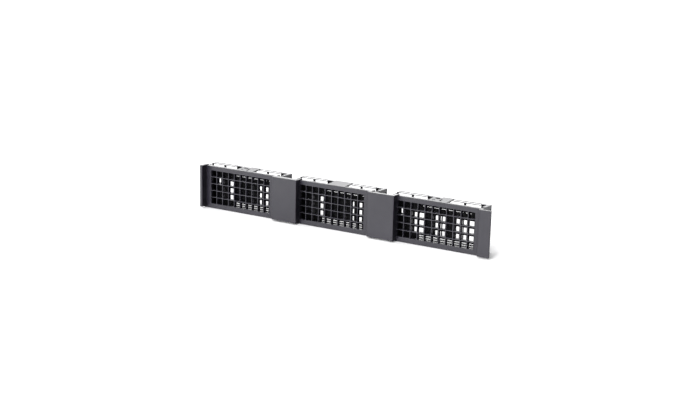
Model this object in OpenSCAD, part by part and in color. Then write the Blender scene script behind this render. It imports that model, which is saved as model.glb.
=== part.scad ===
// Blank filler for three side-by-side 3.5 inch drive bays in a one-unit server front.
// One moulded piece: a recessed grille frame with three square-hole windows,
// two hollow panels and one plain plate standing proud of it, an upright flange
// on the left and three shallow boxes with an upright web behind the windows.
// Millimetres, +Z up, front towards -Y, origin at the bottom centre of the whole part.

/* [Overall size] */
// Length across the three bays
total_w = 314.3; // [290:0.1:420]
// Height of the recessed frame, which is what stands on the shelf
frame_h = 42.3; // [36:0.1:60]
// How far the plain panels stand proud of the recessed frame
proud = 7; // [3:0.1:12]
// Depth of the box walls behind the front face of the recessed frame
box_d = 16.2; // [14:0.1:30]
// Depth of the tongues and rear rails behind the front face of the frame
rail_d = 15.2; // [13:0.1:29]

/* [Front panels and left flange] */
// Distance from one bay to the next
bay_pitch = 105.3; // [100:0.1:130]
// Width of the two panels that cover the gap between neighbouring bays
panel_w = 27.5; // [15:0.1:50]
// Right edge of the first panel, measured from the left end
panel_edge = 113.8; // [109:0.1:140]
// Left edge of the plain plate at the right end, measured from the left end
plate_x0 = 303; // [300:0.1:340]
// Thickness of that plate, which overhangs the last box
plate_t = 2; // [1.2:0.1:4]
// Thickness of the upright flange at the left end
flange_t = 2.8; // [1.5:0.1:6]
// Height of the panels
panel_h = 41.7; // [34:0.1:60]
// Bottom of the panels above the bottom of the frame
panel_z0 = 1.5; // [0:0.1:4]
// Wall thickness of the hollow panels
shell_t = 2; // [1.2:0.1:3]
// Depth of the top and bottom lips of the first and second panel
panel_lip = [5.4, 3.4]; // [2:0.1:9]
// Chamfer on the upright front corners of the panels
corner_c = 0.5; // [0.2:0.1:1.5]
// Chamfer along the upper front edge of the frame and the panels
top_c = 0.3; // [0.1:0.1:1.5]

/* [Grille windows] */
// Thickness of the frame and its grille bars
frame_t = 3.6; // [1:0.1:5]
// Distance from one column of holes to the next
col_pitch = 7.1; // [4:0.1:12]
// Distance from one row of holes to the next
row_pitch = 6.8; // [4:0.1:7]
// Width of a grille bar
bar_w = 0.8; // [0.6:0.1:3]
// Left edge of the first window, measured from the left end
window_x0 = 8.6; // [4:0.1:20]
// Bottom edge of the windows
window_z0 = 4.8; // [2:0.1:12]
// Columns of holes in the left and middle windows
cols_a = 10; // [4:1:12]
// Columns of holes in the right window
cols_b = 11; // [4:1:13]

/* [Boxes behind the windows] */
// Wall thickness of the boxes
wall_t = 1.4; // [1:0.1:3]
// Inner face of the left box wall, measured from the start of its bay
box_left = 2.9; // [1:0.1:6]
// Outer face of the right box wall, measured from the start of its bay
box_right = 93.7; // [90:0.1:100]
// Front face of the upright web inside each box, behind the frame face
web_y = 9; // [6:0.1:11]
// Thickness of that web
web_t = 1.3; // [0.8:0.1:3]
// Height of the thin rails along the top of the web and the rear
rail_h = 0.5; // [0.4:0.1:3]
// Left and right edge of the tongue that spans the top and bottom of a box
tongue_u = [38.6, 57.2]; // [30:0.1:70]
// Thickness of the tongue
tongue_t = 1.3; // [0.8:0.1:3]
// Height of the rear end of the tongues, which rise like a ramp
tongue_z = 43.6; // [43.2:0.1:46]
// Top of the floor plate between the web and the rear of a box
floor_z = 4.1; // [2.5:0.1:8]

/* [Hidden] */

rows = 5;
total_h = panel_z0 + panel_h;
y0 = -(box_d - proud) / 2;
hole_w = col_pitch - bar_w;
hole_h = row_pitch - bar_w;
frame_w = 2 * bay_pitch + box_right;
web_back = web_y + web_t;
low_z = 38;
solid_u = [33.4, 56.2];
stop_y = 12.4;
stop_u = [[30.7, 83.3], [31.1, 83.8], [32.3, 85.3]];
end_u = [85.9, 85.5, 86.4];
lip_u = 90.7;
post_u = [[18.6, 70.1], [18.3, 70.3], [18.8, 71.2]];
post_w = 1.9;
rib_u = [[17.5, 72.2], [17.5, 72.6], [17.5, 82]];
rib_t = 1.4;
eps = 0.01;

// Upright openings in the web of each bay, seen through the three middle rows
columns = [
    [[24.5, 29], [59.3, 63.4], [66.3, 71]],
    [[24.4, 29.2], [59.6, 63.2], [66.8, 71.7]],
    [[21.5, 31.2], [42.8, 45.4], [46.8, 48.9], [49.7, 52.7], [63.5, 66.8], [68.5, 70], [70.7, 74], [75.7, 81.2]]
];
// Openings in the web behind the lowest row
low_slots = [
    [[30.2, 43.2], [45, 58], [58.9, 64.6], [65.9, 71.8]],
    [[27.6, 44.5], [46, 58.2], [59.5, 65.4], [66.7, 72.2]],
    [[25.4, 45.4], [46.9, 60.6], [61.4, 81.2]]
];
// Bottom and height of the long slot in the web behind the top row
strip_z = 33.85;
strip_h = 0.45;
// One small opening in the web behind the second column
peep = [[11.2, 13.6], [10.2, 12], [7.8, 9.4]];

// Start of bay k, measured from the left end
function bay(k) = k * bay_pitch;
// Bottom of hole row r, counted from below
function row_z(r) = window_z0 + r * row_pitch;

// A block between two corners
module block(a, b) {
    translate(a) cube([b[0] - a[0], b[1] - a[1], b[2] - a[2]]);
}

// Wedge that takes off an upper front edge at depth y and height z
module edge_cut(x0, x1, y, z) {
    translate([x0, y, z]) rotate([90, 0, 90])
        linear_extrude(height = x1 - x0) polygon([[-1, 1], [-1, -top_c - 1], [top_c + 1, 1]]);
}

// Upright plate section seen from above, with its two front corners chamfered
module panel_section(w, d) {
    polygon([[corner_c, 0], [w - corner_c, 0], [w, corner_c], [w, d], [0, d], [0, corner_c]]);
}

// Hollow panel standing proud of the frame, open at the back
module panel(x, w, lip) {
    difference() {
        translate([x, -proud, panel_z0]) linear_extrude(height = panel_h) panel_section(w, proud + frame_t);
        block([x + shell_t, -proud + shell_t, panel_z0 + shell_t], [x + w - shell_t, frame_t + eps, total_h - shell_t]);
        block([x + shell_t, -proud + lip, 0], [x + w - shell_t, frame_t + eps, total_h + eps]);
        edge_cut(x - eps, x + w + eps, -proud, total_h);
    }
}

// Recessed frame plate with its three grille windows
module frame() {
    difference() {
        block([0, 0, 0], [frame_w, frame_t, frame_h]);
        for (k = [0 : 2])
            for (c = [0 : (k == 2 ? cols_b : cols_a) - 1])
                for (r = [0 : rows - 1])
                    translate([bay(k) + window_x0 + c * col_pitch, -eps, row_z(r)])
                        cube([hole_w, frame_t + 2 * eps, hole_h]);
        for (k = [0 : 1])
            block([bay(k) + lip_u, -eps, -eps],
                  [panel_edge + bay(k) - shell_t, frame_t + eps, frame_h + eps]);
        edge_cut(-eps, frame_w + eps, 0, frame_h);
    }
}

// Upright web across a box with its openings
module web(k) {
    difference() {
        block([bay(k) + box_left - 0.2, web_y, 0], [bay(k) + box_right - 0.2, web_back, total_h]);
        translate([bay(k), web_y - eps, 0]) {
            // upper openings between the posts
            for (g = [[box_left + 1.2, post_u[k][0] - post_w / 2], [post_u[k][0] + post_w / 2, solid_u[0]],
                      [solid_u[1], post_u[k][1] - post_w / 2], [post_u[k][1] + post_w / 2, end_u[k]]])
                block([g[0], 0, low_z], [g[1], web_t + 2 * eps, total_h - rail_h]);
            // thin slot behind the top row
            for (g = [[solid_u[0] - 4, post_u[k][1] - post_w / 2], [post_u[k][1] + post_w / 2, post_u[k][1] + 7]])
                block([g[0], 0, strip_z], [g[1], web_t + 2 * eps, strip_z + strip_h]);
            // the rail stops short of the two rear stops
            for (g = [[solid_u[0], tongue_u[0] + 0.2], [end_u[k], box_right - wall_t]])
                block([g[0], 0, low_z], [g[1], web_t + 2 * eps, total_h + eps]);
            // room for the tongue
            block([tongue_u[0], 0, total_h - 0.6], [tongue_u[1], web_t + 2 * eps, total_h + eps]);
            // three middle rows
            for (r = [1 : 3], g = columns[k])
                block([g[0], 0, row_z(r) - 2.2], [g[1], web_t + 2 * eps, row_z(r) + hole_h - 3.7]);
            // lowest row
            for (g = low_slots[k])
                block([g[0], 0, floor_z], [g[1], web_t + 2 * eps, row_z(0) + hole_h - 3.7]);
            block([peep[k][0], 0, 24.6], [peep[k][1], web_t + 2 * eps, 28.9]);
        }
    }
}

// Left and right walls of a box
module box_walls(k) {
    // left wall, low, with a thin rail above it
    u = k == 0 ? flange_t - wall_t : box_left - wall_t;
    block([bay(k) + u, frame_t - 0.2, 0], [bay(k) + u + wall_t, web_back, low_z]);
    block([bay(k) + box_left - 0.8, frame_t - 0.2, frame_h - rail_h], [bay(k) + box_left, web_back, frame_h]);
    if (k > 0)
        block([bay(k) + u, -proud + shell_t - 0.2, panel_z0 + 0.5], [bay(k) + u + wall_t, frame_t, low_z]);
    // right wall with a lip along the top and a groove near the rear
    block([bay(k) + box_right - wall_t, -proud + shell_t - 0.2, panel_z0 + 0.5], [bay(k) + box_right, frame_t, total_h - 0.5]);
    difference() {
        union() {
            block([bay(k) + box_right - wall_t, frame_t - 0.2, 0], [bay(k) + box_right, box_d, total_h]);
            block([bay(k) + box_right - 2.8, 12, 0], [bay(k) + box_right, box_d, total_h]);
            block([bay(k) + lip_u, frame_t - 0.2, total_h - tongue_t], [bay(k) + box_right, box_d, total_h]);
        }
        block([bay(k) + box_right - 1.4, 12.9, 2], [bay(k) + box_right + eps, 14.2, total_h - 3]);
    }
}

// Ramp from the top edge of the frame up to the rear, thickness t
module ramp(x0, x1, t, sink) {
    slope = (tongue_z - frame_h) / (rail_d - top_c);
    translate([x0, 0, 0]) rotate([90, 0, 90]) linear_extrude(height = x1 - x0)
        polygon([[top_c, frame_h - sink - 0.4], [top_c, frame_h - sink], [rail_d, tongue_z - sink],
                 [rail_d, tongue_z - t], [frame_t - 0.2, frame_h - t + slope * (frame_t - top_c)]]);
}

// Tongue that bridges the frame and the rear rail at the top, and its mirror at the bottom
module tongues(k) {
    difference() {
        union() {
            ramp(bay(k) + tongue_u[0], bay(k) + tongue_u[1], tongue_t, 0);
            // thicker pad around the latch slots
            if (k != 1) ramp(bay(k) + tongue_u[0], bay(k) + 53, 2.8, 0.3);
        }
        if (k != 1) {
            block([bay(k) + 42, 8, total_h - 6], [bay(k) + 46.6, 10.8, tongue_z + eps]);
            block([bay(k) + 48.2, 3.4, total_h - 6], [bay(k) + 49.8, 8.4, tongue_z + eps]);
            block([bay(k) + 41.2, 4.2, total_h - 6], [bay(k) + 43.8, 5.8, tongue_z + eps]);
            block([bay(k) + tongue_u[0] - eps, 13.4, tongue_z - 1.1], [bay(k) + 46.8, rail_d + eps, tongue_z + eps]);
        }
    }
    block([bay(k) + tongue_u[0], frame_t - 0.2, 0], [bay(k) + tongue_u[1], rail_d, tongue_t]);
}

// Floor plate, ribs, the two stops and the thin rails that stiffen a box behind its web
module box_ribs(k) {
    block([bay(k) + box_left, web_back - 0.2, floor_z - 1.2], [bay(k) + box_right - 0.4, rail_d - 0.4, floor_z]);
    block([bay(k) + box_left, rail_d - 1, floor_z - 1.2], [bay(k) + box_right - 0.4, rail_d, floor_z + 0.6]);
    for (g = [[stop_u[k][0], tongue_u[0] + 0.4], [stop_u[k][1], box_right - 0.4]])
        block([bay(k) + g[0], stop_y, low_z], [bay(k) + g[1], rail_d, total_h]);
    for (u = rib_u[k])
        block([bay(k) + u, web_back - 0.2, 0], [bay(k) + u + rib_t, rail_d, low_z]);
    for (g = [[box_left, tongue_u[0] + 0.4], [tongue_u[1] - 0.4, box_right - 0.4]])
        block([bay(k) + g[0], rail_d - 0.8, total_h - rail_h], [bay(k) + g[1], rail_d, total_h]);
    block([bay(k) + box_left, web_back - 0.2, total_h - rail_h], [bay(k) + box_left + 0.7, rail_d, total_h]);
    for (g = [[rib_u[k][0], tongue_u[0] + 0.4], [tongue_u[1] - 0.4, box_right - 0.4]])
        block([bay(k) + g[0], rail_d - 1.2, 0], [bay(k) + g[1], rail_d, 0.9]);
}

module filler_panel() {
    color([0.2, 0.2, 0.21]) translate([-total_w / 2, y0, 0]) {
        frame();
        difference() {
            block([0, -proud, panel_z0], [flange_t, frame_t, total_h]);
            edge_cut(-eps, flange_t + eps, -proud, total_h);
        }
        for (k = [0 : 1]) panel(panel_edge + bay(k) - panel_w, panel_w, panel_lip[k]);
        difference() {
            translate([plate_x0, -proud, panel_z0]) linear_extrude(height = panel_h)
                panel_section(total_w - plate_x0, plate_t);
            edge_cut(plate_x0 - eps, total_w + eps, -proud, total_h);
        }
        for (k = [0 : 2]) {
            web(k);
            box_walls(k);
            tongues(k);
            box_ribs(k);
        }
    }
}

filler_panel();
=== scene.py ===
import math

import bpy
from mathutils import Matrix, Vector


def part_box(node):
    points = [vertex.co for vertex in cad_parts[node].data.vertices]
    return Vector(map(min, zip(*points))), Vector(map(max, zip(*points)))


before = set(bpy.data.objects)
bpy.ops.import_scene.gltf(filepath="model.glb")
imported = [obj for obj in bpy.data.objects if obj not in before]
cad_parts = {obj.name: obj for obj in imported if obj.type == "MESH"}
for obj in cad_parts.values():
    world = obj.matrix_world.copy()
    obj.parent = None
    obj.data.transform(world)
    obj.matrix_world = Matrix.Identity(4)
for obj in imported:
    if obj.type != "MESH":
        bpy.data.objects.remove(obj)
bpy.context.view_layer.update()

scene = bpy.context.scene
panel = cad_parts["filler_panel"]
lo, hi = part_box("filler_panel")


# ---------------------------------------------------------------- helpers
def node(tree, kind, place=(0, 0), **values):
    n = tree.nodes.new(kind)
    n.location = place
    for key, value in values.items():
        if key in n.inputs:
            n.inputs[key].default_value = value
        else:
            setattr(n, key, value)
    return n


# ---------------------------------------------------------------- camera
def add_camera():
    az, el, roll = math.radians(31.38), math.radians(13.488), math.radians(1.525)
    fw = Vector((-math.sin(az) * math.cos(el), math.cos(az) * math.cos(el), -math.sin(el)))
    right = Vector((math.cos(az), math.sin(az), 0.0))
    up = right.cross(fw)
    r = right * math.cos(roll) + up * math.sin(roll)
    u = up * math.cos(roll) - right * math.sin(roll)
    data = bpy.data.cameras.new("camera")
    data.sensor_width = 36.0
    data.lens = 1222.66 * 36.0 / 700.0
    data.clip_start = 0.01
    data.clip_end = 60.0
    cam = bpy.data.objects.new("camera", data)
    m = Matrix((
        (r.x, u.x, -fw.x, 0.58211),
        (r.y, u.y, -fw.y, -0.93866),
        (r.z, u.z, -fw.z, 0.28410),
        (0.0, 0.0, 0.0, 1.0),
    ))
    cam.matrix_world = m
    scene.collection.objects.link(cam)
    scene.camera = cam
    return cam


# ---------------------------------------------------------------- material
def plastic_material():
    mat = bpy.data.materials.new("moulded_plastic")
    mat.use_nodes = True
    tree = mat.node_tree
    tree.nodes.clear()
    link = tree.links.new

    def calc(kind, a, b, place):
        n = node(tree, "ShaderNodeMath", place)
        n.operation = kind
        for i, v in enumerate((a, b)):
            if isinstance(v, float):
                n.inputs[i].default_value = v
            else:
                link(v, n.inputs[i])
        return n.outputs[0]

    def ramp01(value, lo_at, hi_at, to_lo, to_hi, place):
        n = node(tree, "ShaderNodeMapRange", place)
        n.interpolation_type = "SMOOTHSTEP"
        for key, v in (("From Min", lo_at), ("From Max", hi_at), ("To Min", to_lo), ("To Max", to_hi)):
            n.inputs[key].default_value = v
        link(value, n.inputs["Value"])
        return n.outputs[0]

    out = node(tree, "ShaderNodeOutputMaterial", (1300, 0))
    bsdf = node(tree, "ShaderNodeBsdfPrincipled", (1000, 0))
    link(bsdf.outputs[0], out.inputs[0])
    bsdf.inputs["IOR"].default_value = 1.5
    coord = node(tree, "ShaderNodeTexCoord", (-1300, 0))

    # broad mottling of the colour
    cloud = node(tree, "ShaderNodeTexNoise", (-1000, 300), Scale=26.0, Detail=5.0, Roughness=0.62)
    link(coord.outputs["Object"], cloud.inputs["Vector"])
    tint = node(tree, "ShaderNodeValToRGB", (-700, 300))
    tint.color_ramp.elements[0].position = 0.3
    tint.color_ramp.elements[0].color = (0.027, 0.0262, 0.0312, 1)
    tint.color_ramp.elements[1].position = 0.7
    tint.color_ramp.elements[1].color = (0.034, 0.0328, 0.0388, 1)
    link(cloud.outputs["Fac"], tint.inputs["Fac"])

    # edges rubbed slightly paler and smoother by handling
    soft = node(tree, "ShaderNodeBevel", (-1000, -500), Radius=0.0003)
    soft.samples = 4
    geo = node(tree, "ShaderNodeNewGeometry", (-1000, -700))
    turn = node(tree, "ShaderNodeVectorMath", (-750, -600))
    turn.operation = "DOT_PRODUCT"
    link(soft.outputs["Normal"], turn.inputs[0])
    link(geo.outputs["True Normal"], turn.inputs[1])
    edge = ramp01(turn.outputs["Value"], 0.99, 0.85, 0.0, 1.0, (-500, -600))
    rub = node(tree, "ShaderNodeTexNoise", (-750, -350), Scale=160.0, Detail=3.0)
    link(coord.outputs["Object"], rub.inputs["Vector"])
    patchy = ramp01(rub.outputs["Fac"], 0.42, 0.62, 0.15, 0.7, (-500, -350))
    wear = calc("MULTIPLY", edge, patchy, (-250, -450))
    paler = node(tree, "ShaderNodeMix", (-100, 300))
    paler.data_type = "RGBA"
    paler.inputs[7].default_value = (0.052, 0.0505, 0.0575, 1)
    link(wear, paler.inputs[0])
    link(tint.outputs["Color"], paler.inputs[6])

    # painted shade: the front faces inside the boxes get a darker base colour, standing in for the shade
    # in the holes; they are also made rougher
    split = node(tree, "ShaderNodeSeparateXYZ", (-1000, 700))
    link(coord.outputs["Object"], split.inputs[0])
    deep = ramp01(split.outputs["Y"], 0.0, 0.0025, 0.0, 1.0, (-750, 750))
    facing = node(tree, "ShaderNodeSeparateXYZ", (-1000, 900))
    link(coord.outputs["Normal"], facing.inputs[0])
    front = ramp01(facing.outputs["Y"], -0.3, -0.7, 0.0, 1.0, (-750, 950))
    inner_painted_shade = calc("MULTIPLY", deep, front, (-500, 850))
    # painted shade: mixes a near-black colour into the base colour on the inside front faces
    painted_shade_mix = node(tree, "ShaderNodeMix", (200, 300))
    painted_shade_mix.data_type = "RGBA"
    painted_shade_mix.inputs[7].default_value = (0.0025, 0.0025, 0.0032, 1)
    link(calc("MULTIPLY", inner_painted_shade, 0.85, (-250, 850)), painted_shade_mix.inputs[0])
    link(paler.outputs[2], painted_shade_mix.inputs[6])
    link(painted_shade_mix.outputs[2], bsdf.inputs["Base Color"])

    # spark-eroded grain over softened edges
    grain = node(tree, "ShaderNodeTexNoise", (-250, -200), Scale=2600.0, Detail=3.0, Roughness=0.55)
    link(coord.outputs["Object"], grain.inputs["Vector"])
    bump = node(tree, "ShaderNodeBump", (500, -300), Strength=0.25, Distance=0.00006)
    link(grain.outputs["Fac"], bump.inputs["Height"])
    link(soft.outputs["Normal"], bump.inputs["Normal"])
    link(bump.outputs["Normal"], bsdf.inputs["Normal"])

    # gloss varies with the mottling, is higher on rubbed edges and low inside
    gloss = node(tree, "ShaderNodeMapRange", (200, 0))
    gloss.inputs["To Min"].default_value = 0.37
    gloss.inputs["To Max"].default_value = 0.47
    link(cloud.outputs["Fac"], gloss.inputs["Value"])
    worn = calc("SUBTRACT", gloss.outputs["Result"], calc("MULTIPLY", wear, 0.06, (200, -200)), (400, 0))
    link(calc("ADD", worn, calc("MULTIPLY", inner_painted_shade, 0.25, (400, 150)), (600, 50)), bsdf.inputs["Roughness"])
    return mat


plastic = plastic_material()
for i in range(len(panel.material_slots)):
    panel.material_slots[i].material = plastic
for poly in panel.data.polygons:
    poly.use_smooth = False


# ---------------------------------------------------------------- floor and light
def add_floor():
    mesh = bpy.data.meshes.new("floor")
    s = 8.0
    mesh.from_pydata([(-s, -s, 0), (s, -s, 0), (s, s, 0), (-s, s, 0)], [], [(0, 1, 2, 3)])
    floor = bpy.data.objects.new("floor", mesh)
    scene.collection.objects.link(floor)
    mat = bpy.data.materials.new("floor_paper")
    mat.use_nodes = True
    bsdf = mat.node_tree.nodes["Principled BSDF"]
    bsdf.inputs["Base Color"].default_value = (0.82, 0.82, 0.825, 1)
    bsdf.inputs["Roughness"].default_value = 1.0
    bsdf.inputs["Specular IOR Level"].default_value = 0.0
    floor.data.materials.append(mat)
    return floor


add_floor()


def heading(az, el):
    a, e = math.radians(az), math.radians(el)
    return Vector((math.sin(a) * math.cos(e), -math.cos(a) * math.cos(e), math.sin(e)))


def add_world(base, lobes):
    """Studio surroundings: an even level and wide soft lobes of light."""
    world = bpy.data.worlds.new("studio")
    scene.world = world
    world.use_nodes = True
    tree = world.node_tree
    bg = tree.nodes["Background"]
    coord = node(tree, "ShaderNodeTexCoord", (-1100, 0))
    total = None
    for i, (az, el, edge, strength) in enumerate(lobes):
        dot = node(tree, "ShaderNodeVectorMath", (-800, -200 * i))
        dot.operation = "DOT_PRODUCT"
        dot.inputs[1].default_value = heading(az, el)
        tree.links.new(coord.outputs["Generated"], dot.inputs[0])
        lobe = node(tree, "ShaderNodeMapRange", (-600, -200 * i))
        lobe.interpolation_type = "SMOOTHSTEP"
        for key, value in (("From Min", edge), ("From Max", 1.0), ("To Min", 0.0), ("To Max", strength)):
            lobe.inputs[key].default_value = value
        tree.links.new(dot.outputs["Value"], lobe.inputs["Value"])
        add = node(tree, "ShaderNodeMath", (-300 + 60 * i, -200 * i))
        add.operation = "ADD"
        add.inputs[0].default_value = base
        if total is not None:
            tree.links.new(total, add.inputs[0])
        tree.links.new(lobe.outputs[0], add.inputs[1])
        total = add.outputs[0]
    bg.inputs["Color"].default_value = (1.0, 1.0, 1.0, 1)
    tree.links.new(total, bg.inputs["Strength"])


def add_sun(name, az, el, strength, angle):
    data = bpy.data.lights.new(name, "SUN")
    data.energy = strength
    data.angle = math.radians(angle)
    lamp = bpy.data.objects.new(name, data)
    lamp.location = heading(az, el) * 2.0
    lamp.rotation_euler = heading(az, el).to_track_quat("Z", "Y").to_euler()
    scene.collection.objects.link(lamp)
    return lamp


add_world(0.08, [
    (-148.0, 8.0, 0.82, 4.7),
    (-90.0, 12.0, 0.7, 0.9),
    (-90.0, 50.0, 0.6, 1.5),
    (175.0, 40.0, 0.6, 1.1),
    (-45.0, 12.0, 0.7, 1.5),
    (5.0, 18.0, 0.7, 2.9),
    (45.0, 14.0, 0.7, 1.4),
])
add_sun("key", 0.0, 54.0, 1.6, 18.0)


# ---------------------------------------------------------------- tone
def set_tone(points):
    """A contrast curve that deepens the shadows, as in the photograph."""
    view = scene.view_settings
    view.view_transform = "Standard"
    view.look = "None"
    view.use_curve_mapping = True
    mapping = view.curve_mapping
    mapping.use_clip = False
    curve = mapping.curves[3]
    curve.points[0].location = points[0]
    curve.points[1].location = points[-1]
    for x, y in points[1:-1]:
        curve.points.new(x, y)
    for p in curve.points:
        p.handle_type = "VECTOR"
    mapping.update()


set_tone([(0.0, 0.0), (0.02, 0.004), (0.05, 0.022), (0.1, 0.085), (0.14, 0.135), (1.0, 1.0)])

add_camera()
